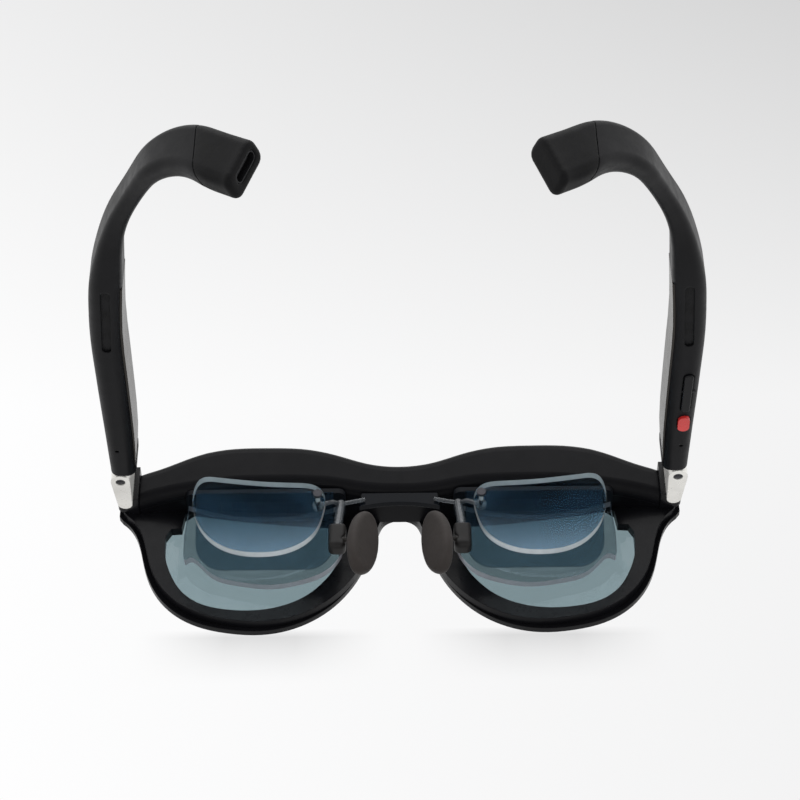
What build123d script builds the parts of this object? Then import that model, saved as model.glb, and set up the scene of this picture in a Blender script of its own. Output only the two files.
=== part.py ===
from build123d import *
from math import cos, dist, radians, sin
import os

# Smart glasses with see-through displays, standing open on their lower rims and temple tips.
# Millimetres. The front faces -Y, +Z is up, X = 0 is the symmetry plane, and +X is the wearer's left.
# The model is laid out by depth, the distance behind the foremost point, and centred in Y at the end.
# Every paired piece is drawn on the +X side, and its twin is the mirror image.

LENGTH = 170.8            # foremost point to the back of the temple tips
HALF_WIDTH = 74.0         # symmetry plane to the outside of the front
FIT_GAP = 0.05            # gap between pieces that are pressed together
GLUE_LINE = 0.1           # gap between the fascia and the bezel bonded behind it

# front frame
WRAP_RADIUS = 240.0       # plan curve of the front
LEAN = 3.5                # degrees that the lower rims lean back towards the face
LEAN_AXIS = (4.2, 36.6)   # depth and Z of the line about which the front leans
LEAN_DROP = 0.061         # lowers the leaned rims back onto the ground
FASCIA_FRONT = 0.653
FASCIA_DEPTH = 1.6
ARCH_TOP = 40.8           # Z of the nose arch at the middle
BEZEL_DEPTH = 2.6
BEZEL_SCALE = (0.982, 0.950)  # the bezel's outline against the fascia's, in X and Z
BEZEL_MIDDLE = 26.0
SHIELD_INSET = 0.35       # the shield lens lies this far behind the fascia's face
SHIELD_DEPTH = 1.2
SHIELD_SCALE = 0.996
FRAME_DEPTH = FASCIA_DEPTH + BEZEL_DEPTH

# brow: X, front depth, rear depth, bottom Z and top Z of each section
BROW_SECTIONS = (
    (0.0, 3.0, 17.8, 37.0, 47.4),
    (9.0, 3.2, 18.4, 37.2, 48.2),
    (17.0, 3.6, 19.6, 38.0, 50.2),
    (25.0, 4.4, 20.4, 38.2, 51.6),
    (35.0, 5.6, 20.6, 38.2, 52.0),
    (45.0, 7.2, 20.6, 37.8, 51.7),
    (52.0, 8.6, 20.4, 37.0, 50.4),
    (58.0, 10.0, 20.2, 36.0, 48.0),
    (63.5, 11.4, 20.2, 34.6, 45.4),
    (68.4, 12.8, 20.2, 32.8, 43.4),
)
BROW_WALL = 1.3
BROW_CORNER = 3.2
COVER_DEPTH = 3.6         # thickness of the brow's rear cover

# optics, one set for each eye
EYE_X = 35.3
LIGHT_OPENING = (19.0, 6.0)
DISPLAY_SIZE = (17.0, 7.0, 1.4)
DISPLAY_Z = 46.0
FIELD_LENS_SIZE = (18.0, 7.0, 3.4)
FIELD_LENS_Z = 42.2
COMBINER_RADIUS = 44.0
COMBINER_DEPTH = 1.9
COMBINER_FRONT = 6.6
COMBINER_Z = 25.0
SPLITTER_SIZE = (36.0, 20.6, 1.1)
SPLITTER_LOW = (13.6, 15.6)
SPLITTER_TILT = 68.0
CARRIER_SIZE = (42.0, 11.0, 1.5)
CARRIER_Y = 14.6
CARRIER_Z = 36.1

# prescription insert and nose pads
INSERT_FRONT = 23.4
INSERT_DEPTH = 2.0
INSERT_RADIUS = 95.0
BAND_HALF = 10.6
BAND_FRONT = 16.2
BAND_REAR = 17.8
ARM_WIRE = 0.6
SCREW_X = 21.2
SCREW_Z = 29.4
SCREW_SPAN = (-0.4, 4.55)     # the screw's two ends behind INSERT_FRONT
SCREW_HEAD = 0.85
STEM_RADIUS = 1.2
STEM_TOP = (15.4, 19.4, 32.2)
CLIP_CENTRE = (16.2, 21.0, 19.4)
CLIP_SIZE = (4.6, 4.6, 7.6)
BALL_CENTRE = (14.8, 22.0, 18.4)
BALL_RADIUS = 1.1
PAD_CENTRE = (9.5, 26.0, 14.6)
PAD_HALF = (5.2, 10.6)
PAD_THICK = 3.2
PAD_NORMAL = (-0.80, 0.60, 0.0)
PAD_LEAN = -12.0          # degrees that the pad's foot leans away from the nose

# hinge
PIVOT = (72.0, 31.0)
KNUCKLE_RADIUS = 2.5
ARM_FOOT = (71.7, 21.8)
ARM_FOOT_RADIUS = 1.9
ARM_BOTTOM = 31.0
ARM_TOP = 43.0
BLOCK_REAR = 22.0
BLOCK_BOTTOM = 32.3
BLOCK_TOP = 43.2
PIN_RADIUS = 0.8
PIN_HEAD = 1.2
PIN_FIT = 0.03
LUG_BOTTOM = 34.6
LUG_TOP = 39.4
LUG_GAP = 0.15
LUG_WIDTH = 1.8
LUG_END = 41.0

# temples: depth, centre X, centre Z, thickness, height, heading towards the nose and lean of the
# section along that heading, both in degrees
TEMPLE_STATIONS = (
    (33.8, 71.0, 37.2, 6.6, 12.4, 0.0, 0),
    (48.0, 70.5, 36.8, 7.4, 13.0, 0.8, 0),
    (70.0, 70.1, 35.9, 7.9, 13.2, 1.2, 0),
    (90.0, 69.6, 35.0, 8.0, 13.2, 2.5, 0),
    (108.0, 67.8, 33.7, 7.8, 12.6, 7.5, 0),
    (118.0, 66.0, 32.7, 6.2, 11.0, 12.0, 0),
    (128.0, 63.5, 31.2, 4.8, 9.4, 18.0, 0),
    (141.0, 58.2, 27.8, 4.2, 8.4, 25.0, 4),
    (153.0, 52.2, 23.6, 5.0, 9.6, 37.0, 10),
    (160.3, 44.6, 19.2, 6.2, 11.6, 53.0, 18),
    (164.0, 38.9, 12.9, 6.6, 12.6, 64.0, 24),
    (167.3, 31.2, 5.84, 6.6, 13.0, 67.0, 25),
)
TEMPLE_SECTIONS = 20      # sections at even steps that the form is drawn through
POCKET_SECTIONS = 10      # the hollow part ends at this section
TEMPLE_ROUNDING = 0.36    # corner radius as a share of the thickness
TEMPLE_WALL = 1.2
COVER_PLATE = 1.1
SEAM = (40.4, 162.4, 62.0)    # X, depth and heading of the seam to the rubber tip
SLOT_LENGTH = 22.5
SLOT_WIDTH = 2.2
SLOT_Y = 95.8
SLOT_ACROSS = -0.2
MIC_Y = 44.4
MIC_RADIUS = 0.5
ROCKER_Y = 66.4
ROCKER_LENGTH = 14.6
ROCKER_WIDTH = 2.3
ROCKER_PROUD = 0.5
BUTTON_Y = 54.2
BUTTON_LENGTH = 5.4
BUTTON_WIDTH = 2.9
BUTTON_PROUD = 0.7
CONTROL_HEIGHT = 3.0
CONTROL_GAP = 0.2
CONTROL_ACROSS = 0.9
SOCKET_SIZE = (8.2, 2.8)
SOCKET_DEPTH = 5.2
SOCKET_RAISE = 0.9        # shift up the tip's end face
SOCKET_SET_BACK = 0.3


def wrap_slab(depth, thickness):
    """The slab between two plan arcs, tall enough for the whole front."""
    reach = 60.0
    outside = WRAP_RADIUS - depth
    slab = Cylinder(outside, 2 * reach) - Cylinder(outside - thickness, 2 * reach)
    slab &= Pos(0, -WRAP_RADIUS, 0) * Box(4 * reach, WRAP_RADIUS, 2 * reach)
    return Pos(0, FASCIA_FRONT + WRAP_RADIUS, reach / 2) * slab


def leaned(shape):
    """The shape leaned back at the bottom like the rest of the front frame."""
    y, z = LEAN_AXIS
    return Pos(0, y, z - LEAN_DROP) * Rot(LEAN, 0, 0) * Pos(0, -y, -z) * shape


def behind_frame(shape):
    """The shape trimmed to end at the front frame's rear face."""
    return shape - leaned(wrap_slab(-8, 8 + FRAME_DEPTH + FIT_GAP))


def prism(face, front, back):
    """A face drawn in X and Z, extruded between two depths."""
    rear_plane = Plane(origin=(0, back, 0), x_dir=(1, 0, 0), z_dir=(0, -1, 0))
    return extrude(rear_plane * face, back - front)


def rod(start, end, radius):
    """A round bar between two points."""
    line = Line(start, end)
    section = Plane(origin=start, z_dir=line % 0) * Circle(radius)
    return sweep(section, path=line)


# ---- front frame ----------------------------------------------------------------------------

def front_outline():
    """The whole outline of the front, with the nose arch."""
    top = Spline(
        (0, 47.4), (9, 48.2), (17, 50.2), (25, 51.6), (35, 52.0), (45, 51.7), (52, 50.4), (58, 48.0),
        (63.5, 45.4), (69.4, 43.0), tangents=((1, 0), (1, -0.22)))
    end = Polyline(top @ 1, (73.0, 42.2), (HALF_WIDTH, 41.0), (HALF_WIDTH, 32.2), (73.0, 31.0))
    lower = Spline(
        end @ 1, (70.6, 28.8), (68.7, 25.0), (67.4, 20.0), (65.6, 13.4), (62.6, 7.8), (58.2, 3.6),
        (52.4, 1.0), (44.5, 0.0), (36.8, 0.4), (29.4, 2.5), (22.6, 6.4), (16.8, 11.8), (12.7, 17.6),
        (10.1, 22.8), (8.2, 28.2), (6.6, 33.2))
    arch = Spline(lower @ 1, (5.4, 36.8), (4.2, 39.1), (2.4, 40.4), (0, ARCH_TOP))
    half = Curve() + [top, end, lower, arch]
    return make_face(half + mirror(half, about=Plane.YZ))


def shield_outline():
    """The opening in the fascia for one shield lens."""
    return make_face(Spline(
        (62.6, 27.0), (62.0, 19.0), (60.2, 12.4), (57.0, 7.4), (52.4, 4.4), (45.4, 3.5), (37.4, 4.2),
        (29.6, 6.7), (23.0, 11.2), (18.5, 16.6), (15.7, 22.6), (14.4, 29.4), (15.3, 36.0), (19.4, 41.2),
        (26.5, 44.6), (36.0, 45.8), (46.5, 45.3), (54.0, 43.0), (59.4, 39.2), (62.2, 34.0),
        periodic=True))


def window_outline():
    """The opening in the bezel, low beside the optics and high behind them."""
    low = Spline(
        (61.5, 26.0), (61.2, 19.0), (59.3, 13.0), (56.3, 8.3), (52.0, 5.5), (45.4, 4.5), (37.5, 5.2),
        (30.0, 7.7), (23.7, 12.0), (19.4, 17.2), (16.6, 23.0), (15.2, 29.5), (15.6, 33.6),
        tangents=((0, -1), (0.3, 1)))
    return make_face(Curve() + [
        low,
        Polyline(low @ 1, (18.0, 36.6), (54.6, 36.6), (57.0, 34.2), (57.6, 29.6), (60.2, 28.8), low @ 0)])


def scaled_about(face, centre, by):
    """A flat face scaled in X and Z about a point."""
    x, z = centre
    wide, high = by
    return Pos(x * (1 - wide), z * (1 - high)) * scale(face, by=(wide, high, 1))


def fascia():
    """The front cover, open at both shield lenses."""
    plate = prism(front_outline(), -1, 40) & wrap_slab(0, FASCIA_DEPTH)
    opening = prism(shield_outline(), -1, 40)
    return leaned(plate - opening - mirror(opening, about=Plane.YZ))


def bezel():
    """The inner frame behind the fascia, stepped in from its edge but flush with the nose arch."""
    outline = scaled_about(front_outline(), (0, BEZEL_MIDDLE), BEZEL_SCALE) & front_outline()
    plate = prism(outline, -1, 40) & wrap_slab(FASCIA_DEPTH + GLUE_LINE, BEZEL_DEPTH - GLUE_LINE)
    opening = prism(window_outline(), -1, 40)
    return leaned(plate - opening - mirror(opening, about=Plane.YZ))


def shield_lens():
    """One curved shield lens, set into the fascia's opening."""
    outline = scaled_about(shield_outline(), (EYE_X, BEZEL_MIDDLE), (SHIELD_SCALE, SHIELD_SCALE))
    return leaned(prism(outline, -1, 40) & wrap_slab(SHIELD_INSET, SHIELD_DEPTH))


# ---- brow -----------------------------------------------------------------------------------

def brow_solid(inset, corner):
    """The brow's outer form, or its hollow when it is inset."""
    last = len(BROW_SECTIONS) - 1
    right = [(-x, *rest) for x, *rest in BROW_SECTIONS[:0:-1]]
    sections = []
    for x, front, rear, low, high in right + list(BROW_SECTIONS):
        if abs(x) == BROW_SECTIONS[last][0]:
            x -= inset if x > 0 else -inset
        face = Rectangle(rear - front - 2 * inset, high - low - 2 * inset)
        face = fillet(face.vertices().sort_by(Axis.X)[-2:], corner)
        middle = Plane(origin=(x, (front + rear) / 2, (low + high) / 2), x_dir=(0, 1, 0), z_dir=(1, 0, 0))
        sections.append(middle * face)
    return loft(sections)


def brow_rear_zone():
    """Everything behind the seam between the brow's housing and its rear cover."""
    seam = Spline(*[(x, rear - COVER_DEPTH) for x, _, rear, _, _ in BROW_SECTIONS], tangents=((1, 0), (1, 0)))
    edge_x = BROW_SECTIONS[-1][0]
    last_y = BROW_SECTIONS[-1][2] - COVER_DEPTH
    end = Polyline((edge_x, last_y), (edge_x + 2, last_y), (edge_x + 2, 40), (0, 40))
    half = Curve() + [seam, end]
    return extrude(make_face(half + mirror(half, about=Plane.YZ)), 60)


def brow_parts():
    """The housing in front and the rear cover, with one hollow inside them."""
    shell = brow_solid(0, BROW_CORNER) - brow_solid(BROW_WALL, BROW_CORNER - BROW_WALL)
    light = Pos(EYE_X, CARRIER_Y - 1.6, BROW_SECTIONS[4][3]) * Box(*LIGHT_OPENING, 4)
    zone = brow_rear_zone()
    housing = behind_frame(shell - zone - light - mirror(light, about=Plane.YZ))
    return housing, shell & zone


def main_board():
    return Pos(0, 11.2, 41.8) * Box(30, 0.9, 4.2)


def display_flex():
    """The ribbon from the board's end to the micro display."""
    return Pos(20.6, 12.0, 45.6) * Box(12.2, 0.3, 2.4)


def display():
    return Pos(EYE_X, 13.6, DISPLAY_Z) * Box(*DISPLAY_SIZE)


def field_lens():
    """A rectangular lens with a domed underside below the display."""
    block = Pos(EYE_X, 13.6, FIELD_LENS_Z) * Box(*FIELD_LENS_SIZE)
    dome_radius = 30.0
    low = FIELD_LENS_Z - FIELD_LENS_SIZE[2] / 2
    return block & (Pos(EYE_X, 13.6, low + dome_radius) * Sphere(dome_radius))


# ---- optics ---------------------------------------------------------------------------------

def carrier():
    """The frame under the brow that holds the splitter and the combiner."""
    plate = Pos(EYE_X, CARRIER_Y, CARRIER_Z) * Box(*CARRIER_SIZE)
    plate = fillet(plate.edges().filter_by(Axis.Z), 2.0)
    plate -= Pos(EYE_X, CARRIER_Y - 1.6, CARRIER_Z) * Box(24, 7.0, 4)
    post = Box(3.0, 3.0, 1.2)
    for side in (-1, 1):
        plate += Pos(EYE_X + side * 16.5, CARRIER_Y, CARRIER_Z + CARRIER_SIZE[2] / 2 + 0.5) * post
    return behind_frame(plate - brow_solid(0, BROW_CORNER))


def bowl_outline():
    """The bowl-shaped outline of the combiner."""
    low = Spline(
        (14.6, 27.0), (15.4, 20.4), (18.8, 16.0), (25.0, 13.9), (34.0, 13.0), (43.0, 13.9), (49.6, 15.8),
        (54.6, 19.6), (56.6, 26.0), tangents=((0, -1), (0, 1)))
    return make_face(Curve() + [low, Polyline(low @ 1, (55.8, 35.3), (15.4, 35.3), low @ 0)])


def combiner():
    """A part-silvered spherical bowl that returns the image to the eye."""
    centre = Pos(EYE_X, COMBINER_FRONT + COMBINER_RADIUS, COMBINER_Z)
    shell = centre * (Sphere(COMBINER_RADIUS) - Sphere(COMBINER_RADIUS - COMBINER_DEPTH))
    return shell & prism(bowl_outline(), 2, 30)


def splitter():
    """The tilted half mirror between the combiner and the eye."""
    width, height, thick = SPLITTER_SIZE
    face = Pos(0, height / 2) * Rectangle(width, height)
    face = fillet(face.vertices().sort_by(Axis.Y)[:2], 7.0)
    tilt = radians(SPLITTER_TILT)
    up_normal = (0, sin(tilt), -cos(tilt))
    foot = Plane(origin=(EYE_X, *SPLITTER_LOW), x_dir=(1, 0, 0), z_dir=(0, -up_normal[1], -up_normal[2]))
    return extrude(foot * face, thick)


# ---- prescription insert --------------------------------------------------------------------

def insert_outline():
    return make_face(Spline(
        (48.6, 35.7), (42.0, 35.3), (34.0, 34.6), (26.6, 33.9), (21.6, 32.4), (19.3, 28.8), (19.7, 24.4),
        (21.2, 19.2), (24.2, 15.3), (29.4, 12.6), (36.0, 11.8), (42.6, 12.7), (47.8, 15.5), (51.5, 20.2),
        (53.4, 26.4), (53.1, 32.2), (51.6, 34.9),
        periodic=True))


def insert_lens():
    """One meniscus lens with a screw hole at its nose side."""
    centre_y = INSERT_FRONT + INSERT_RADIUS
    ball = Sphere(INSERT_RADIUS) - Sphere(INSERT_RADIUS - INSERT_DEPTH)
    lens = prism(insert_outline(), INSERT_FRONT - 1, INSERT_FRONT + 9) & (Pos(36.0, centre_y, 24.0) * ball)
    hole = prism(Pos(SCREW_X, SCREW_Z) * Circle(0.6), INSERT_FRONT - 2, INSERT_FRONT + 9)
    return lens - hole


def insert_screws():
    """A nut-and-screw pair through each insert lens, as two separate solids."""
    spot = Pos(SCREW_X, SCREW_Z)
    shank = prism(spot * Circle(0.5), INSERT_FRONT + SCREW_SPAN[0], INSERT_FRONT + SCREW_SPAN[1])
    head = prism(spot * Circle(1.2), INSERT_FRONT + SCREW_SPAN[1] - SCREW_HEAD, INSERT_FRONT + SCREW_SPAN[1])
    screw = shank + head
    return Compound(children=[screw, mirror(screw, about=Plane.YZ)])


def insert_bridge():
    """The curved band under the brow that carries both pad arms."""
    lower = ThreePointArc((-BAND_HALF, 32.4), (0, 33.9), (BAND_HALF, 32.4))
    outline = make_face(Curve() + [
        lower, Polyline(lower @ 1, (BAND_HALF - 0.6, 36.9), (-BAND_HALF + 0.6, 36.9), lower @ 0)])
    return prism(outline, BAND_FRONT, BAND_REAR)


def pad_arm():
    """The clear arm from the band to the lens, with the stem that carries the pad's clip."""
    start = (BAND_HALF - 1.4, BAND_REAR + ARM_WIRE - 0.1, 34.4)
    route = FilletPolyline(start, STEM_TOP, (17.6, 22.0, 31.0), (SCREW_X, 22.3, SCREW_Z), radius=1.2)
    wire = sweep(Plane(origin=start, z_dir=route % 0) * Circle(ARM_WIRE), path=route)
    clip_top = (CLIP_CENTRE[0], CLIP_CENTRE[1], CLIP_CENTRE[2] + CLIP_SIZE[2] / 2)
    stem = rod(clip_top, STEM_TOP, STEM_RADIUS)
    eye = prism(Pos(SCREW_X, SCREW_Z) * Circle(1.5), INSERT_FRONT - 1.7, INSERT_FRONT - 0.6)
    crown = Pos(*STEM_TOP) * Sphere(STEM_RADIUS)
    return wire + stem + crown + eye - insert_bridge() - Pos(*CLIP_CENTRE) * Box(*CLIP_SIZE)


# ---- nose pads ------------------------------------------------------------------------------

def pad_plane():
    """Local Z is the pad's face normal, and local Y runs up its length."""
    normal = Vector(*PAD_NORMAL).normalized()
    across = Vector(0, 0, 1).cross(normal).normalized()
    face = Plane(origin=PAD_CENTRE, x_dir=across, z_dir=normal)
    return face.location * Rot(0, 0, PAD_LEAN)


def nose_pad():
    """A soft oval pad."""
    oval = pad_plane() * (Pos(0, 0, -PAD_THICK / 2) * extrude(Ellipse(*PAD_HALF), PAD_THICK))
    return fillet(oval.edges(), PAD_THICK * 0.42)


def pad_stud():
    """The ball-ended stud on the back of the pad."""
    ball = Vector(*BALL_CENTRE)
    seat = pad_plane() * Pos(0, 3.2, -PAD_THICK / 2 - FIT_GAP - 0.35)
    neck = rod(tuple(seat.position), tuple(ball), 0.55)
    foot = seat * Cylinder(2.0, 0.7)
    return neck + Pos(*BALL_CENTRE) * Sphere(BALL_RADIUS) + foot


def pad_clip():
    """The clip on the stem, with the socket for the pad's ball."""
    block = Pos(*CLIP_CENTRE) * Box(*CLIP_SIZE)
    block = fillet(block.edges().filter_by(Axis.Z), 1.0)
    lower = block.faces().sort_by(Axis.Z)[0]
    block = chamfer(lower.edges(), 0.9)
    ball = Vector(*BALL_CENTRE)
    back = (pad_plane() * Pos(0, 3.2, -PAD_THICK / 2)).position
    mouth = rod(tuple(ball), tuple(back), 0.95)
    return block - Pos(*BALL_CENTRE) * Sphere(BALL_RADIUS + FIT_GAP) - mouth


# ---- hinge ----------------------------------------------------------------------------------

def hinge_block():
    """The end piece that joins the front to the metal hinge arm."""
    low, high = BLOCK_BOTTOM, BLOCK_TOP
    inner = BROW_SECTIONS[-1][0] + FIT_GAP
    centre = ((inner + HALF_WIDTH) / 2, BLOCK_REAR - 6, (low + high) / 2)
    block = Pos(*centre) * Box(HALF_WIDTH - inner, 12, high - low)
    block = fillet(block.edges().filter_by(Axis.Y).sort_by(Axis.X)[-2:], 1.2)
    return behind_frame(block)


def arm_plan():
    """The tapered tongue of the hinge arm, seen from above."""
    foot = Pos(*ARM_FOOT) * Circle(ARM_FOOT_RADIUS)
    knuckle = Pos(*PIVOT) * Circle(KNUCKLE_RADIUS)
    return make_hull((foot + knuckle).edges())


def hinge_arm():
    """The metal arm: a tongue under the end piece and a two-leaf knuckle at the pivot."""
    arm = Pos(0, 0, ARM_BOTTOM) * extrude(arm_plan(), ARM_TOP - ARM_BOTTOM)
    above = ARM_TOP - BLOCK_BOTTOM + FIT_GAP
    arm -= Pos(ARM_FOOT[0], BLOCK_REAR - 10 + FIT_GAP, BLOCK_BOTTOM - FIT_GAP + above / 2) * Box(12, 20, above)
    gap = LUG_TOP - LUG_BOTTOM + 2 * LUG_GAP
    pivot = Pos(*PIVOT, (LUG_TOP + LUG_BOTTOM) / 2)
    arm -= pivot * Cylinder(KNUCKLE_RADIUS + 0.7, gap)
    arm -= pivot * Cylinder(PIN_RADIUS, 2 * (ARM_TOP - ARM_BOTTOM))
    arm -= Pos(*PIVOT, ARM_BOTTOM) * Cylinder(PIN_HEAD + FIT_GAP, 2.0)
    return arm


def hinge_pin():
    """The pivot screw, its head sunk into the lower leaf."""
    shank_top = ARM_TOP - 0.4
    head = Pos(*PIVOT, ARM_BOTTOM + 0.65) * Cylinder(PIN_HEAD, 0.7)
    shank_low = ARM_BOTTOM + 0.65
    shank = Pos(*PIVOT, (shank_low + shank_top) / 2) * Cylinder(PIN_RADIUS, shank_top - shank_low)
    slot = Pos(*PIVOT, ARM_BOTTOM + 0.35) * Box(2.0, 0.4, 0.5)
    return head + shank - slot


def hinge_lug():
    """The middle leaf, whose tail is buried in the temple."""
    plan = Pos(*PIVOT) * Circle(KNUCKLE_RADIUS - 0.1)
    plan += Pos(PIVOT[0], (PIVOT[1] + LUG_END) / 2) * Rectangle(LUG_WIDTH, LUG_END - PIVOT[1])
    lug = Pos(0, 0, LUG_BOTTOM) * extrude(plan, LUG_TOP - LUG_BOTTOM)
    return lug - Pos(*PIVOT, LUG_TOP) * Cylinder(PIN_RADIUS + PIN_FIT, 20)


# ---- temples --------------------------------------------------------------------------------

def station_plane(station, inward=0.0):
    """The plane across the temple, with local X towards the nose and local Y up."""
    y, x, z, _, _, heading, lean = station
    angle = radians(heading)
    slant = radians(lean)
    origin = (x - inward * cos(angle), y - inward * sin(angle), z)
    along = (-sin(angle) * cos(slant), cos(angle) * cos(slant), -sin(slant))
    return Plane(origin=origin, x_dir=(-cos(angle), -sin(angle), 0), z_dir=along)


def even_stations(stations, count):
    """Stations at even steps along the temple, on smooth curves through the given ones."""
    run = [0.0]
    for near, far in zip(stations, stations[1:]):
        run.append(run[-1] + dist(near[:3], far[:3]))
    last = len(stations) - 1
    slopes = []
    for i in range(last + 1):
        low = max(i - 1, 0)
        high = min(i + 1, last)
        slopes.append([(b - a) / (run[high] - run[low]) for a, b in zip(stations[low], stations[high])])
    evened = []
    for step in range(count):
        at = run[-1] * step / (count - 1)
        i = min(sum(r <= at for r in run) - 1, last - 1)
        width = run[i + 1] - run[i]
        t = (at - run[i]) / width
        evened.append(tuple(
            (1 + 2 * t) * (1 - t) ** 2 * near
            + t * (1 - t) ** 2 * width * near_slope
            + (3 - 2 * t) * t ** 2 * far
            + (t - 1) * t ** 2 * width * far_slope
            for near, far, near_slope, far_slope in zip(
                stations[i], stations[i + 1], slopes[i], slopes[i + 1])))
    return evened


def temple_form():
    """The temple's whole outer form."""
    return loft([
        station_plane(s) * RectangleRounded(s[3], s[4], s[3] * TEMPLE_ROUNDING) for s in SECTIONS])


def temple_hollow():
    """The hollow that opens towards the nose and that the inner cover closes."""
    first, *rest = SECTIONS[:POCKET_SECTIONS]
    stations = [(first[0] + 2 * TEMPLE_WALL, *first[1:]), *rest]
    return loft([
        station_plane(s, TEMPLE_WALL) * Rectangle(s[3], s[4] - 2 * TEMPLE_WALL) for s in stations], ruled=True)


def temple_cover():
    """The inner cover plate, flush with the temple's inner face."""
    first, *middle, last = SECTIONS[:POCKET_SECTIONS]
    stations = [(first[0] + 2 * TEMPLE_WALL + FIT_GAP, *first[1:]), *middle, (last[0] - 2 * FIT_GAP, *last[1:])]
    rim = 2 * TEMPLE_WALL + 2 * FIT_GAP
    return loft([
        station_plane(s, (s[3] - COVER_PLATE) / 2) * Rectangle(COVER_PLATE, s[4] - rim) for s in stations],
        ruled=True)


def underside(y, across=0.0):
    """The plane on the underside at a depth: local Y runs back along it and local Z points up into it."""
    near, far = [pair for pair in zip(SECTIONS, SECTIONS[1:]) if pair[0][0] <= y][-1]
    share = (y - near[0]) / (far[0] - near[0])
    start = Vector(near[1], near[0], near[2] - near[4] / 2)
    end = Vector(far[1], far[0], far[2] - far[4] / 2)
    run = (end - start).normalized()
    outward = run.cross(Vector(0, 0, 1)).normalized()
    return Plane(origin=start + (end - start) * share + outward * across, x_dir=outward, z_dir=outward.cross(run))


SECTIONS = even_stations(TEMPLE_STATIONS, TEMPLE_SECTIONS)


def capsule(length, width, low, high):
    """A round-ended bar along local Y between two heights."""
    return Pos(0, 0, low) * extrude(SlotOverall(length, width, rotation=90), high - low)


def seam_plane():
    x, y, heading = SEAM
    angle = radians(heading)
    return Plane(origin=(x, y, 0), x_dir=(-cos(angle), -sin(angle), 0), z_dir=(-sin(angle), cos(angle), 0))


def temple_shell(controls):
    """The hard shell, with its speaker slot, microphone hole and, where it has them, control pockets."""
    shell = split(temple_form(), bisect_by=seam_plane(), keep=Keep.BOTTOM) - temple_hollow()
    tail = LUG_WIDTH + 2 * FIT_GAP
    height = LUG_TOP - LUG_BOTTOM + 2 * FIT_GAP
    shell -= Pos(PIVOT[0], LUG_END - 5, (LUG_TOP + LUG_BOTTOM) / 2) * Box(tail, 10 + 2 * FIT_GAP, height)
    shell -= underside(SLOT_Y, SLOT_ACROSS) * capsule(SLOT_LENGTH, SLOT_WIDTH, -2, TEMPLE_WALL + 0.6)
    shell -= underside(MIC_Y, CONTROL_ACROSS) * Cylinder(MIC_RADIUS, 5)
    if controls:
        wide = 2 * CONTROL_GAP
        shell -= underside(ROCKER_Y, CONTROL_ACROSS) * capsule(ROCKER_LENGTH + wide, ROCKER_WIDTH + wide, -2, 2)
        shell -= underside(BUTTON_Y, CONTROL_ACROSS) * capsule(BUTTON_LENGTH + wide, BUTTON_WIDTH + wide, -2, 2)
        shell -= rocker_pin()
    return shell


def rocker_pin():
    turn = Rot(0, 90, 0)
    return underside(ROCKER_Y, CONTROL_ACROSS) * (Pos(0, 0, 0.6) * turn * Cylinder(0.4, ROCKER_WIDTH + 1.8))


def rocker():
    """The volume rocker, tilting on its pin."""
    bar = capsule(ROCKER_LENGTH, ROCKER_WIDTH, -ROCKER_PROUD, CONTROL_HEIGHT - ROCKER_PROUD)
    bar = fillet(bar.edges().filter_by(GeomType.CIRCLE).group_by(Axis.Z)[0], 0.3)
    bar -= Pos(0, 0, 0.6) * Rot(0, 90, 0) * Cylinder(0.45, 10)
    return underside(ROCKER_Y, CONTROL_ACROSS) * bar


def red_button():
    """The function button, with a flange that keeps it in the shell."""
    flange_low = TEMPLE_WALL + FIT_GAP
    stem = capsule(BUTTON_LENGTH, BUTTON_WIDTH, -BUTTON_PROUD, flange_low + 0.9)
    flange = capsule(BUTTON_LENGTH + 1.8, BUTTON_WIDTH, flange_low, flange_low + 0.5)
    return underside(BUTTON_Y, CONTROL_ACROSS) * (stem + flange)


def switch_board():
    """The small board above the controls, with a dome switch over each rocker end and over the button."""
    middle = (ROCKER_Y + BUTTON_Y) / 2
    board = underside(middle, 0.2) * (Pos(0, 0, 4.2) * Box(3.4, 30, 0.8))
    reach = ROCKER_LENGTH / 2 - 1.6
    for y in (ROCKER_Y - reach, ROCKER_Y + reach, BUTTON_Y):
        board += underside(y, CONTROL_ACROSS) * (Pos(0, 0, 3.45) * Cylinder(0.8, 0.9))
    return board


def speaker_grille():
    """The mesh strip behind the slot."""
    strip = capsule(SLOT_LENGTH - 2 * FIT_GAP, SLOT_WIDTH - 2 * FIT_GAP, 0.45, TEMPLE_WALL)
    return underside(SLOT_Y, SLOT_ACROSS) * strip


def speaker():
    """The speaker box above the grille."""
    return underside(SLOT_Y, 0) * (Pos(0, 0, 5.0) * Box(4.6, 20.0, 6.4))


def temple_board():
    return underside(62.0, 1.6) * (Pos(0, 0, 8.6) * Box(0.9, 38.0, 4.6))


def temple_tip(socket):
    """The rubber tip, with a seat for the connector where it has one."""
    tip = split(temple_form(), bisect_by=seam_plane(), keep=Keep.TOP)
    end = tip.faces().sort_by(Axis.X)[0]
    tip = fillet(end.edges(), 1.2)
    if socket:
        tip -= socket_seat(FIT_GAP)
    return tip


def socket_plane():
    """The plane of the connector's mouth, just inside the tip's end face."""
    return station_plane(TEMPLE_STATIONS[-1]) * Pos(0, SOCKET_RAISE, -SOCKET_SET_BACK)


def socket_seat(gap):
    """The round-ended block that the connector fills, or with a gap the recess it sits in."""
    length, width = SOCKET_SIZE
    face = SlotOverall(length + 2 * gap, width + 2 * gap, rotation=90)
    reach = 8.0 if gap else 0.0
    return socket_plane() * (Pos(0, 0, -SOCKET_DEPTH) * extrude(face, SOCKET_DEPTH + reach))


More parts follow.
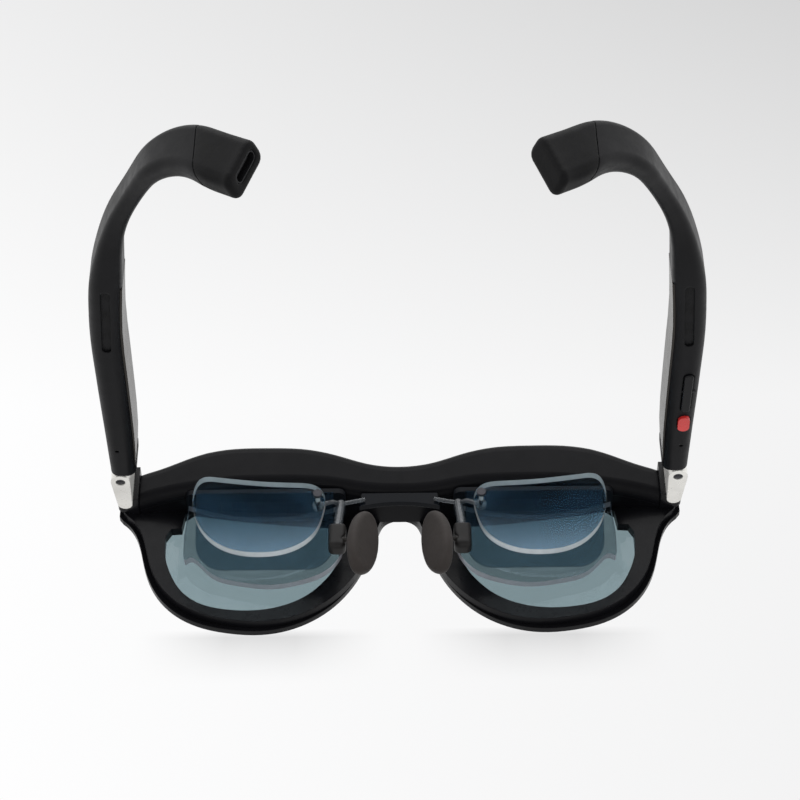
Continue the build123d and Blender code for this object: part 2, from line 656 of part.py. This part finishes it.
def data_socket():
    """The cable socket in the left tip: a metal shell with a contact tongue."""
    length, width = SOCKET_SIZE
    mouth = SlotOverall(length - 0.6, width - 0.6, rotation=90)
    hollow = socket_plane() * (Pos(0, 0, 1 - SOCKET_DEPTH) * extrude(mouth, SOCKET_DEPTH))
    reach = SOCKET_DEPTH - 2
    tongue = socket_plane() * (Pos(0, 0, 0.9 - SOCKET_DEPTH + reach / 2) * Box(0.7, length - 2.6, reach))
    return socket_seat(0) - hollow + tongue


# ---- all nodes ------------------------------------------------------------------------------

def main():
    housing, cover = brow_parts()
    single = {
        "fascia": fascia(),
        "bezel": bezel(),
        "brow_housing": housing,
        "brow_cover": cover,
        "main_board": main_board(),
        "insert_bridge": insert_bridge(),
        "insert_screws": insert_screws(),
        "temple_shell_left": temple_shell(False),
        "temple_shell_right": mirror(temple_shell(True), about=Plane.YZ),
        "temple_tip_left": temple_tip(True),
        "temple_tip_right": mirror(temple_tip(False), about=Plane.YZ),
        "data_socket": data_socket(),
        "rocker": mirror(rocker(), about=Plane.YZ),
        "rocker_pin": mirror(rocker_pin(), about=Plane.YZ),
        "red_button": mirror(red_button(), about=Plane.YZ),
        "switch_board": mirror(switch_board(), about=Plane.YZ),
    }
    paired = {
        "shield_lens": shield_lens(),
        "display": display(),
        "display_flex": display_flex(),
        "field_lens": field_lens(),
        "optic_carrier": carrier(),
        "combiner": combiner(),
        "beam_splitter": splitter(),
        "insert_lens": insert_lens(),
        "pad_arm": pad_arm(),
        "pad_clip": pad_clip(),
        "pad_stud": pad_stud(),
        "nose_pad": nose_pad(),
        "hinge_block": hinge_block(),
        "hinge_arm": hinge_arm(),
        "hinge_pin": hinge_pin(),
        "hinge_lug": hinge_lug(),
        "temple_cover": temple_cover(),
        "temple_board": temple_board(),
        "speaker": speaker(),
        "speaker_grille": speaker_grille(),
    }
    for name, shape in paired.items():
        single[name + "_left"] = shape
        single[name + "_right"] = mirror(shape, about=Plane.YZ)

    os.makedirs("parts", exist_ok=True)
    for name, shape in single.items():
        export_step(Pos(0, -LENGTH / 2, 0) * shape, f"parts/{name}.step")


main()
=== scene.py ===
import math

import bmesh
import bpy
from mathutils import Matrix, Vector


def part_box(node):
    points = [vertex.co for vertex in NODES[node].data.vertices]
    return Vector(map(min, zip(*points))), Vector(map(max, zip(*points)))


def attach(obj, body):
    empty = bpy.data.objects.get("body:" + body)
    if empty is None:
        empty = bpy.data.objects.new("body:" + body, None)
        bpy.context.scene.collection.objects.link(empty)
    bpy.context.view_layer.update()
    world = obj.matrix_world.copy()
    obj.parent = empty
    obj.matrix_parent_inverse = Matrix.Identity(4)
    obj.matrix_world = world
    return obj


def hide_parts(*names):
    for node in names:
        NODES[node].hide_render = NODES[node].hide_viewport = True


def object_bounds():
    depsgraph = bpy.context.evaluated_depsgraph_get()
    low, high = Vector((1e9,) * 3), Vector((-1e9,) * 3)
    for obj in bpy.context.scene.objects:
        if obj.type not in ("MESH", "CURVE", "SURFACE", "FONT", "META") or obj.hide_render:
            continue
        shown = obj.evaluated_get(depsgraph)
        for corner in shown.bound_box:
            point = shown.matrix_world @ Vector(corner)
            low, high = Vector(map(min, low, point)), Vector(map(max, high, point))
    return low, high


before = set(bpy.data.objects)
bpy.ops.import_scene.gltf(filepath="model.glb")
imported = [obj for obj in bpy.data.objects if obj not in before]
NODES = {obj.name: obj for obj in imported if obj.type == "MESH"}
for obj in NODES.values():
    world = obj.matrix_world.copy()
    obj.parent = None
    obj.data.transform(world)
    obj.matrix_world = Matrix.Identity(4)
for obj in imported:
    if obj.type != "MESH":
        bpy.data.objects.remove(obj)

START_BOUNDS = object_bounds()
LOW, HIGH = START_BOUNDS
MM = 0.001
scene = bpy.context.scene
scene.view_settings.view_transform = "Standard"

# ---- camera: behind and below the open glasses, looking up at the wearer's side of the front ----
CAMERA_PITCH = math.radians(40.0)
CAMERA_ROLL = math.radians(0.6)
CAMERA_BEHIND = 333.1 * MM      # behind the rearmost point
CAMERA_BELOW = 338.7 * MM       # below the lowest point
CAMERA_LENS = 104.5
CAMERA_SENSOR = 36.0
CAMERA_SHIFT = 0.0019
CLIP_NEAR = 0.01
CLIP_FAR = 20.0


def add_camera():
    """A level camera pitched up and rolled a little, on the symmetry plane."""
    data = bpy.data.cameras.new("camera")
    data.lens = CAMERA_LENS
    data.sensor_width = CAMERA_SENSOR
    data.shift_x = CAMERA_SHIFT
    data.clip_start = CLIP_NEAR
    data.clip_end = CLIP_FAR
    cam = bpy.data.objects.new("camera", data)
    scene.collection.objects.link(cam)
    look = Vector((0, -math.cos(CAMERA_PITCH), math.sin(CAMERA_PITCH)))
    up = Vector((0, math.sin(CAMERA_PITCH), math.cos(CAMERA_PITCH)))
    right = Vector((-1, 0, 0))
    turned_right = right * math.cos(CAMERA_ROLL) - up * math.sin(CAMERA_ROLL)
    turned_up = up * math.cos(CAMERA_ROLL) + right * math.sin(CAMERA_ROLL)
    turn = Matrix((turned_right, turned_up, -look)).transposed().to_4x4()
    place = Vector(((LOW.x + HIGH.x) / 2, HIGH.y + CAMERA_BEHIND, LOW.z - CAMERA_BELOW))
    cam.matrix_world = Matrix.Translation(place) @ turn
    scene.camera = cam


# ---- node helpers ----------------------------------------------------------------------------
BEVEL_SAMPLES = 4


class Tree:
    """Short calls for building a node tree."""

    def __init__(self, tree):
        self.tree = tree
        self.tree.nodes.clear()

    def add(self, kind, **values):
        """A new node with the given settings."""
        node = self.tree.nodes.new(kind)
        for key, value in values.items():
            setattr(node, key, value)
        return node

    def link(self, source, target):
        self.tree.links.new(source, target)

    def coords(self):
        return self.add("ShaderNodeTexCoord").outputs["Object"]

    def noise(self, scale, detail=4.0, stretch=None, rough=0.55):
        """Fractal noise in object space; scale counts features per metre."""
        node = self.add("ShaderNodeTexNoise")
        node.inputs["Scale"].default_value = scale
        node.inputs["Detail"].default_value = detail
        node.inputs["Roughness"].default_value = rough
        source = self.coords()
        if stretch:
            mapping = self.add("ShaderNodeMapping")
            mapping.inputs["Scale"].default_value = stretch
            self.link(source, mapping.inputs["Vector"])
            source = mapping.outputs["Vector"]
        self.link(source, node.inputs["Vector"])
        return node.outputs["Fac"]

    def span(self, source, low, high, start=0.3, end=0.7):
        """The source mapped from start..end to low..high, and held beyond them."""
        node = self.add("ShaderNodeMapRange")
        node.inputs["From Min"].default_value = start
        node.inputs["From Max"].default_value = end
        node.inputs["To Min"].default_value = low
        node.inputs["To Max"].default_value = high
        self.link(source, node.inputs["Value"])
        return node.outputs["Result"]

    def math(self, operation, a, b=None):
        node = self.add("ShaderNodeMath", operation=operation)
        for socket, value in zip(node.inputs, (a, b)):
            if value is None:
                continue
            if isinstance(value, (int, float)):
                socket.default_value = value
            else:
                self.link(value, socket)
        return node.outputs[0]

    def blend(self, factor, low, high):
        """A colour between low, which may be a socket, and the fixed colour high."""
        node = self.add("ShaderNodeMix", data_type="RGBA")
        self.link(factor, node.inputs["Factor"])
        first, second = [socket for socket in node.inputs if socket.type == "RGBA"]
        if isinstance(low, tuple):
            first.default_value = (*low, 1.0)
        else:
            self.link(low, first)
        second.default_value = (*high, 1.0)
        return next(socket for socket in node.outputs if socket.type == "RGBA")

    def rounded(self, radius):
        """Normals that round the edges off without moving them."""
        node = self.add("ShaderNodeBevel", samples=BEVEL_SAMPLES)
        node.inputs["Radius"].default_value = radius
        return node.outputs["Normal"]

    def bump(self, height, strength, distance, normal=None):
        node = self.add("ShaderNodeBump")
        node.inputs["Strength"].default_value = strength
        node.inputs["Distance"].default_value = distance
        self.link(height, node.inputs["Height"])
        if normal is not None:
            self.link(normal, node.inputs["Normal"])
        return node.outputs["Normal"]


def new_material(name):
    material = bpy.data.materials.new(name)
    material.use_nodes = True
    return material, Tree(material.node_tree)


def lighter(color, by):
    """The colour made lighter or darker, but never above white."""
    return tuple(min(1.0, c * by) for c in color)


# ---- finishes --------------------------------------------------------------------------------
# noise scales, in features per metre
BROAD_MOTTLE = 90.0             # slow change of colour over a part
HANDLING = 320.0                # fingerprints and rubbing
SMUDGES = 140.0                 # haze on the sheets
SHEET_WAVE = 60.0               # very slight waviness of the sheets
FROST_GRAIN = 1800.0
EDGE_MOTTLE = 400.0
WEAVE = 2400.0                  # cells of the speaker mesh
WEAVE_MOTTLE = 900.0
RIDGE = (0.505, 0.56)           # pointiness at which an edge starts to wear, and is fully worn
COAT_ROUGHNESS = 0.08
# colour and roughness of the painted reflection laid low on the insert lenses
PAINTED_REFLECTION_COLOR = (0.58, 0.78, 1.0)
PAINTED_REFLECTION_ROUGHNESS = 0.35


def solid(name, color, rough, spread=0.06, grain=2600.0, depth=0.02, metal=0.0, coat=0.0, sheen=0.0,
          wear=0.1, edge=0.18, stretch=None, specular=0.5, tint=(1.0, 1.0, 1.0)):
    """An opaque finish: mottled colour, uneven roughness, fine grain, rounded and slightly worn edges."""
    material, t = new_material(name)
    shader = t.add("ShaderNodeBsdfPrincipled")
    out = t.add("ShaderNodeOutputMaterial")
    t.link(shader.outputs["BSDF"], out.inputs["Surface"])
    broad = t.noise(BROAD_MOTTLE, 3.0)
    fine = t.noise(grain, 3.0, stretch)
    handled = t.noise(HANDLING, 6.0, rough=0.7)
    base = t.blend(t.span(broad, 0.0, 1.0), lighter(color, 0.86), lighter(color, 1.16))
    ridge = t.add("ShaderNodeNewGeometry").outputs["Pointiness"]
    worn = t.math("MULTIPLY", t.span(ridge, 0.0, wear, *RIDGE), t.span(handled, 0.3, 1.0))
    t.link(t.blend(worn, base, lighter(color, 1.9)), shader.inputs["Base Color"])
    uneven = t.math("ADD", t.span(handled, rough - spread, rough + spread), t.span(fine, -0.02, 0.02))
    t.link(uneven, shader.inputs["Roughness"])
    shader.inputs["Metallic"].default_value = metal
    shader.inputs["Coat Weight"].default_value = coat
    shader.inputs["Coat Roughness"].default_value = COAT_ROUGHNESS
    shader.inputs["Sheen Weight"].default_value = sheen
    shader.inputs["Specular IOR Level"].default_value = specular
    shader.inputs["Specular Tint"].default_value = (*tint, 1.0)
    normal = t.rounded(edge * MM) if edge else None
    t.link(t.bump(fine, 0.5, depth * MM, normal), shader.inputs["Normal"])
    return material


def glass(name, tint, mirror=0.08, rough=0.03, edge_color=(0.8, 0.85, 0.87), edge_amount=0.6,
          facing=(0, 1, 0), edge_limit=0.45, haze=0.006, sheen=(0.95, 0.97, 1.0), painted_reflection=None):
    """A thin clear or part-silvered sheet with frosted cut edges.

    facing is the sheet's own normal, and a face turned away from it counts as a cut edge. sheen is the colour
    of its reflection. painted_reflection is (low Z, high Z, amount) of a painted reflection: a pale gloss
    whose amount is set by height and fades out upwards.
    """
    material, t = new_material(name)
    out = t.add("ShaderNodeOutputMaterial")
    smudge = t.noise(SMUDGES, 6.0, rough=0.7)
    wave = t.noise(SHEET_WAVE, 2.0)
    clear = t.add("ShaderNodeBsdfTransparent")
    smudged = t.blend(t.span(smudge, 0.0, 1.0), lighter(tint, 0.985), lighter(tint, 1.01))
    t.link(smudged, clear.inputs["Color"])
    gloss = t.add("ShaderNodeBsdfGlossy")
    gloss.inputs["Color"].default_value = (*sheen, 1.0)
    t.link(t.span(smudge, rough, rough + 0.05), gloss.inputs["Roughness"])
    t.link(t.bump(wave, 0.25, 0.02 * MM), gloss.inputs["Normal"])
    layer = t.add("ShaderNodeLayerWeight")
    layer.inputs["Blend"].default_value = 0.5
    grazing = t.math("POWER", layer.outputs["Facing"], 4.0)
    amount = t.math("ADD", t.span(grazing, mirror * 0.5, 0.6, 0.0, 1.0), t.span(smudge, 0.0, haze))
    surface = t.add("ShaderNodeMixShader")
    t.link(amount, surface.inputs["Fac"])
    t.link(clear.outputs[0], surface.inputs[1])
    t.link(gloss.outputs[0], surface.inputs[2])
    # painted reflection: a pale gloss mixed in by height, strongest at the bottom of the sheet and gone above
    # the given top
    if painted_reflection:
        low, high, strength = painted_reflection
        place = t.add("ShaderNodeSeparateXYZ")
        t.link(t.coords(), place.inputs[0])
        reflection_gloss = t.add("ShaderNodeBsdfGlossy")
        reflection_gloss.inputs["Color"].default_value = (*PAINTED_REFLECTION_COLOR, 1.0)
        reflection_gloss.inputs["Roughness"].default_value = PAINTED_REFLECTION_ROUGHNESS
        lower = t.span(place.outputs["Z"], strength, 0.0, low, high)
        with_reflection = t.add("ShaderNodeMixShader")
        t.link(t.math("MULTIPLY", lower, t.span(wave, 0.8, 1.15)), with_reflection.inputs["Fac"])
        t.link(surface.outputs[0], with_reflection.inputs[1])
        t.link(reflection_gloss.outputs[0], with_reflection.inputs[2])
        surface = with_reflection
    # cut edges
    frost = t.add("ShaderNodeBsdfPrincipled")
    frost.inputs["Base Color"].default_value = (*edge_color, 1.0)
    frost.inputs["Roughness"].default_value = 0.22
    frost.inputs["Coat Weight"].default_value = 0.6
    t.link(t.bump(t.noise(FROST_GRAIN), 0.3, 0.02 * MM), frost.inputs["Normal"])
    geometry = t.add("ShaderNodeNewGeometry")
    dot = t.add("ShaderNodeVectorMath", operation="DOT_PRODUCT")
    t.link(geometry.outputs["True Normal"], dot.inputs[0])
    dot.inputs[1].default_value = facing
    side = t.math("LESS_THAN", t.math("ABSOLUTE", dot.outputs["Value"]), edge_limit)
    both = t.add("ShaderNodeMixShader")
    frosted = t.span(t.noise(EDGE_MOTTLE), edge_amount * 0.8, edge_amount)
    t.link(t.math("MULTIPLY", side, frosted), both.inputs["Fac"])
    t.link(surface.outputs[0], both.inputs[1])
    t.link(frost.outputs[0], both.inputs[2])
    t.link(both.outputs[0], out.inputs["Surface"])
    return material


def mesh_grille(name):
    """Dark woven mesh."""
    material, t = new_material(name)
    out = t.add("ShaderNodeOutputMaterial")
    shader = t.add("ShaderNodeBsdfPrincipled")
    t.link(shader.outputs[0], out.inputs["Surface"])
    cells = t.add("ShaderNodeTexVoronoi")
    cells.inputs["Scale"].default_value = WEAVE
    cells.inputs["Randomness"].default_value = 0.15
    t.link(t.coords(), cells.inputs["Vector"])
    hole = t.span(cells.outputs["Distance"], 0.0, 1.0, 0.3, 0.42)
    t.link(t.blend(hole, (0.001, 0.001, 0.001), (0.008, 0.008, 0.009)), shader.inputs["Base Color"])
    t.link(t.span(t.noise(WEAVE_MOTTLE), 0.35, 0.55), shader.inputs["Roughness"])
    shader.inputs["Specular IOR Level"].default_value = 0.1
    t.link(t.bump(hole, 0.5, 0.02 * MM), shader.inputs["Normal"])
    return material


INSERT_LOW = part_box("insert_lens_left")[0].z
INSERT_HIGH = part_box("insert_lens_left")[1].z
# the painted reflection on the insert lenses fades out at this height
PAINTED_REFLECTION_TOP = INSERT_LOW + 0.55 * (INSERT_HIGH - INSERT_LOW)

# one finish for each node name, without its side
LOOKS = {
    "fascia": solid("front_gloss", (0.005, 0.005, 0.006), 0.2, coat=0.06, depth=0.004, edge=0.3,
                    specular=0.12),
    "bezel": solid("bezel_satin", (0.004, 0.004, 0.005), 0.3, coat=0.03, depth=0.008, edge=0.25,
                   specular=0.08),
    "brow_housing": solid("brow_satin", (0.004, 0.004, 0.005), 0.34, depth=0.012, edge=0.4, specular=0.07),
    "brow_cover": solid("brow_cover_satin", (0.004, 0.004, 0.005), 0.34, depth=0.012, edge=0.4,
                        specular=0.07),
    "main_board": solid("board_mask", (0.004, 0.008, 0.006), 0.45, specular=0.2),
    "insert_bridge": solid("bridge_gloss", (0.002, 0.003, 0.005), 0.14, coat=0.05, depth=0.004, edge=0.3,
                           specular=0.05),
    "insert_screws": solid("screw_metal", (0.03, 0.03, 0.035), 0.3, metal=0.5, specular=0.3),
    "shield_lens": glass("shield_tint", (0.465, 0.54, 0.56), mirror=0.02, edge_color=(0.02, 0.025, 0.03)),
    "display": solid("display_dark", (0.01, 0.01, 0.014), 0.15),
    "display_flex": solid("ribbon_amber", (0.4, 0.2, 0.05), 0.35),
    "field_lens": glass("field_glass", (0.9, 0.95, 0.97)),
    "optic_carrier": solid("carrier_matte", (0.003, 0.004, 0.006), 0.5, specular=0.1),
    "combiner": glass("combiner_film", (0.67, 0.70, 0.71), mirror=0.02, edge_color=(0.42, 0.42, 0.47),
                      edge_amount=0.62, edge_limit=0.5, sheen=(0.6, 0.72, 0.85)),
    "beam_splitter": glass("splitter_film", (0.56, 0.63, 0.67), mirror=0.02, edge_color=(0.05, 0.06, 0.07),
                           facing=(0, 0.93, -0.37), edge_amount=0.5, sheen=(0.3, 0.55, 0.85)),
    "insert_lens": glass("insert_clear", (0.90, 0.965, 0.99), mirror=0.02, edge_color=(0.84, 0.87, 0.87),
                         edge_amount=0.6, sheen=(0.10, 0.21, 0.33),
                         painted_reflection=(INSERT_LOW, PAINTED_REFLECTION_TOP, 0.045)),
    "pad_arm": glass("arm_clear", (0.60, 0.64, 0.68), mirror=0.05, edge_color=(0.10, 0.11, 0.12),
                     edge_amount=0.35, edge_limit=0.99),
    "pad_clip": solid("clip_satin", (0.010, 0.009, 0.009), 0.4, specular=0.2),
    "pad_stud": solid("stud_grey", (0.02, 0.018, 0.017), 0.4, specular=0.2),
    "hinge_block": solid("block_gloss", (0.004, 0.004, 0.005), 0.24, coat=0.05, edge=0.3, specular=0.12),
    "hinge_arm": solid("arm_metal", (0.87, 0.85, 0.81), 0.3, metal=0.4, grain=900.0, depth=0.0008, edge=0.25,
                       stretch=(1, 1, 12), wear=0.0),
    "hinge_pin": solid("pin_metal", (0.05, 0.05, 0.055), 0.35, metal=0.6),
    "hinge_lug": solid("lug_metal", (0.5, 0.5, 0.52), 0.32, metal=1.0),
    "temple_shell": solid("temple_satin", (0.006, 0.006, 0.007), 0.40, depth=0.014, edge=0.5, specular=0.11),
    "temple_cover": solid("cover_gloss", (0.016, 0.014, 0.012), 0.26, spread=0.03, grain=900.0, depth=0.0008,
                          specular=0.24, tint=(1.0, 0.92, 0.84)),
    "temple_board": solid("temple_mask", (0.02, 0.12, 0.06), 0.4),
    "speaker": solid("speaker_matte", (0.03, 0.03, 0.03), 0.5),
    "speaker_grille": mesh_grille("grille_mesh"),
    "data_socket": solid("socket_metal", (0.02, 0.02, 0.022), 0.35, metal=0.6),
    "rocker": solid("rocker_gloss", (0.004, 0.004, 0.005), 0.3, coat=0.05, specular=0.15),
    "rocker_pin": solid("rocker_pin_metal", (0.03, 0.03, 0.033), 0.4, metal=0.5, specular=0.2),
    "red_button": solid("button_red", (0.62, 0.03, 0.028), 0.28, coat=0.2, wear=0.0),
    "switch_board": solid("switch_mask", (0.02, 0.12, 0.06), 0.4),
    "nose_pad": solid("pad_rubber", (0.028, 0.023, 0.021), 0.55, grain=1500.0, depth=0.03, sheen=0.05, edge=0,
                      wear=0.0, specular=0.18),
    "temple_tip": solid("tip_rubber", (0.004, 0.004, 0.0045), 0.5, grain=1800.0, depth=0.03, sheen=0.02,
                        edge=0, wear=0.0, specular=0.1),
}


def base_name(node):
    """The node's name without its side."""
    return node.removesuffix("_left").removesuffix("_right")


def finish_cad_nodes():
    """Every CAD node gets the finish of its name."""
    for name, obj in NODES.items():
        obj.data.materials.clear()
        obj.data.materials.append(LOOKS[base_name(name)])


# ---- soft pieces -----------------------------------------------------------------------------
WELD_REACH = 0.002 * MM
RIPPLE_SIZE = 3.0 * MM


def soft_copy(node, name, body, voxel, rounds, ripple):
    """A soft moulded piece shaped like a CAD node: a fine even skin, relaxed edges, faint unevenness."""
    mesh = NODES[node].data.copy()
    mesh.name = name
    obj = bpy.data.objects.new(name, mesh)
    scene.collection.objects.link(obj)
    mesh.materials.clear()
    mesh.materials.append(LOOKS[base_name(node)])
    weld = obj.modifiers.new("weld", "WELD")
    weld.merge_threshold = WELD_REACH
    skin = obj.modifiers.new("skin", "REMESH")
    skin.mode = "VOXEL"
    skin.voxel_size = voxel * MM
    skin.use_smooth_shade = True
    relax = obj.modifiers.new("relax", "SMOOTH")
    relax.factor = 0.5
    relax.iterations = rounds
    texture = bpy.data.textures.new(name + "_ripple", "CLOUDS")
    texture.noise_scale = RIPPLE_SIZE
    uneven = obj.modifiers.new("uneven", "DISPLACE")
    uneven.texture = texture
    uneven.strength = ripple * MM
    uneven.mid_level = 0.5
    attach(obj, body)
    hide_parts(node)


def soft_pieces():
    """The pads, the clips and the temple tips; voxel and ripple are in millimetres."""
    for side in ("left", "right"):
        soft_copy("nose_pad_" + side, "soft_pad_" + side, "pad_" + side,
                  voxel=0.30, rounds=10, ripple=0.08)
        soft_copy("pad_clip_" + side, "clip_boot_" + side, "front",
                  voxel=0.22, rounds=36, ripple=0.03)
        soft_copy("temple_tip_" + side, "soft_tip_" + side, "temple_" + side,
                  voxel=0.30, rounds=6, ripple=0.05)


# ---- stage -----------------------------------------------------------------------------------
FLOOR_HALF = 1.6
FLOOR_DROP = 0.05 * MM          # the floor lies this far below the glasses
PATCH_HALF = 0.16
PATCH_TILT = math.radians(62.0)
PATCH_BEHIND = 6 * MM           # the shade sheet starts this far behind the front's face
PATCH_RAISE = 2.0 * MM
SHADE_DEPTH = 30 * MM           # the painted contact shade fades out this far below the rims
SHADE_CENTRE = 36 * MM          # each rim's shade lies this far from the symmetry plane
SHADE_AMOUNT = 0.30


def stage_plane(name, size, material):
    """A flat square sheet, size from its centre to its sides."""
    mesh = bpy.data.meshes.new(name)
    bm = bmesh.new()
    bmesh.ops.create_grid(bm, x_segments=2, y_segments=2, size=size)
    bm.to_mesh(mesh)
    bm.free()
    mesh.materials.append(material)
    obj = bpy.data.objects.new(name, mesh)
    scene.collection.objects.link(obj)
    return obj


def floor_material():
    """Pale from above, clear from below."""
    material, t = new_material("stage_floor")
    out = t.add("ShaderNodeOutputMaterial")
    shader = t.add("ShaderNodeBsdfPrincipled")
    t.link(t.blend(t.noise(2.0), (0.84, 0.84, 0.84), (0.88, 0.88, 0.88)), shader.inputs["Base Color"])
    shader.inputs["Roughness"].default_value = 0.6
    clear = t.add("ShaderNodeBsdfTransparent")
    mix = t.add("ShaderNodeMixShader")
    t.link(t.add("ShaderNodeNewGeometry").outputs["Backfacing"], mix.inputs["Fac"])
    t.link(shader.outputs[0], mix.inputs[1])
    t.link(clear.outputs[0], mix.inputs[2])
    t.link(mix.outputs[0], out.inputs["Surface"])
    return material


def patch_material():
    """A clear sheet that only carries a painted soft contact shade of the two rims: a darkening gradient set
    by place on the sheet, not a cast shadow.
    """
    material, t = new_material("stage_patch")
    out = t.add("ShaderNodeOutputMaterial")
    place = t.add("ShaderNodeSeparateXYZ")
    t.link(t.coords(), place.inputs[0])
    # painted shade: darkest at the contact line under each rim, fading downwards and sideways
    below = t.span(place.outputs["Y"], 1.0, 0.0, -PATCH_HALF, -PATCH_HALF + SHADE_DEPTH)
    aside = t.math("ABSOLUTE", t.math("SUBTRACT", t.math("ABSOLUTE", place.outputs["X"]), SHADE_CENTRE))
    rim = t.span(aside, 1.0, 0.0, SHADE_CENTRE * 0.25, SHADE_CENTRE * 0.9)
    touch = t.span(place.outputs["Y"], 0.0, 1.0, -PATCH_HALF, -PATCH_HALF + SHADE_DEPTH * 0.15)
    sideways = t.math("MULTIPLY", t.math("POWER", rim, 1.3), touch)
    amount = t.math("MULTIPLY", t.math("POWER", below, 1.5), sideways)
    uneven = t.math("MULTIPLY", amount, t.span(t.noise(30.0), SHADE_AMOUNT * 0.92, SHADE_AMOUNT * 1.08))
    clear = t.add("ShaderNodeBsdfTransparent")
    t.link(t.blend(uneven, (1.0, 1.0, 1.0), (0.0, 0.0, 0.0)), clear.inputs["Color"])
    t.link(clear.outputs[0], out.inputs["Surface"])
    return material


def add_stage():
    """A one-sided floor, and a sheet leaning back from the rims that carries their painted contact shade."""
    floor = stage_plane("stage_floor", FLOOR_HALF, floor_material())
    floor.location = (0, 0, LOW.z - FLOOR_DROP)
    floor.visible_diffuse = False
    floor.visible_glossy = False
    floor.visible_transmission = False
    floor.visible_shadow = False
    patch = stage_plane("stage_patch", PATCH_HALF, patch_material())
    touch = Vector((0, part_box("fascia")[0].y + PATCH_BEHIND, LOW.z + PATCH_RAISE))
    across = Vector((1, 0, 0))
    down = Vector((0, math.cos(PATCH_TILT), -math.sin(PATCH_TILT)))
    turn = Matrix((across, down, across.cross(down))).transposed().to_4x4()
    patch.matrix_world = Matrix.Translation(touch + down * PATCH_HALF) @ turn
    patch.visible_diffuse = False
    patch.visible_glossy = False
    patch.visible_shadow = False


# ---- light -----------------------------------------------------------------------------------
SIGHT_HALF = 0.17               # sine of half the camera's field of view
# the camera's backdrop carries painted shade: darker towards the top and towards one side
BACKDROP_BRIGHT = 0.945         # low in the picture
BACKDROP_FALL = 0.185           # darker by this much at the top
SIDE_FALL = (0.05, 0.045)       # darker towards one side: at the top on top of everywhere
ROOM_STRENGTH = 0.85
AIM = (0, 0, 0.02)


def area(name, place, target, size, power):
    """A rectangular lamp that points at the target."""
    data = bpy.data.lights.new(name, "AREA")
    data.shape = "RECTANGLE"
    data.size, data.size_y = size
    data.energy = power
    lamp = bpy.data.objects.new(name, data)
    scene.collection.objects.link(lamp)
    lamp.location = place
    lamp.rotation_mode = "QUATERNION"
    lamp.rotation_quaternion = (Vector(target) - Vector(place)).to_track_quat("-Z", "Y")


def add_lamps():
    area("overhead", (0.0, 0.75, 0.95), AIM, (1.2, 0.9), 6.0)
    area("side_fill", (0.9, 0.5, 0.1), AIM, (0.7, 0.7), 1.2)
    area("other_fill", (-0.9, 0.4, 0.0), AIM, (0.7, 0.7), 1.0)
    area("low_front", (0.0, 0.55, -0.75), (0, 0, 0.03), (0.9, 0.5), 0.9)


def add_world():
    """A soft backdrop with painted shade, darker towards the top and towards one side, for camera rays, and
    an even pale room for all the others.
    """
    world = bpy.data.worlds.new("studio")
    scene.world = world
    world.use_nodes = True
    t = Tree(world.node_tree)
    out = t.add("ShaderNodeOutputWorld")
    way = t.add("ShaderNodeTexCoord").outputs["Generated"]
    rise = t.add("ShaderNodeVectorMath", operation="DOT_PRODUCT")
    t.link(way, rise.inputs[0])
    rise.inputs[1].default_value = (0, math.sin(CAMERA_PITCH), math.cos(CAMERA_PITCH))
    aside = t.add("ShaderNodeSeparateXYZ")
    t.link(way, aside.inputs[0])
    high = t.span(rise.outputs["Value"], 0.0, 1.0, 0.0, SIGHT_HALF)
    across = t.span(aside.outputs["X"], 1.0, -1.0, -SIGHT_HALF, SIGHT_HALF)
    # painted shade on the backdrop, darker at the top and to one side
    shade = t.math("SUBTRACT", BACKDROP_BRIGHT, t.math("MULTIPLY", high, BACKDROP_FALL))
    side = t.math("ADD", t.math("MULTIPLY", high, SIDE_FALL[0]), SIDE_FALL[1])
    tone = t.math("SUBTRACT", shade, t.math("MULTIPLY", across, side))
    backdrop = t.add("ShaderNodeBackground")
    t.link(t.blend(tone, (0, 0, 0), (1.0, 1.0, 1.003)), backdrop.inputs["Color"])
    room = t.add("ShaderNodeBackground")
    up = t.span(aside.outputs["Z"], 0.85, 1.0, -0.8, 0.9)
    t.link(t.blend(up, (0, 0, 0), (1, 1, 1)), room.inputs["Color"])
    room.inputs["Strength"].default_value = ROOM_STRENGTH
    mix = t.add("ShaderNodeMixShader")
    t.link(t.add("ShaderNodeLightPath").outputs["Is Camera Ray"], mix.inputs["Fac"])
    t.link(room.outputs[0], mix.inputs[1])
    t.link(backdrop.outputs[0], mix.inputs[2])
    t.link(mix.outputs[0], out.inputs["Surface"])


add_camera()
finish_cad_nodes()
soft_pieces()
add_stage()
add_lamps()
add_world()

bpy.context.view_layer.update()
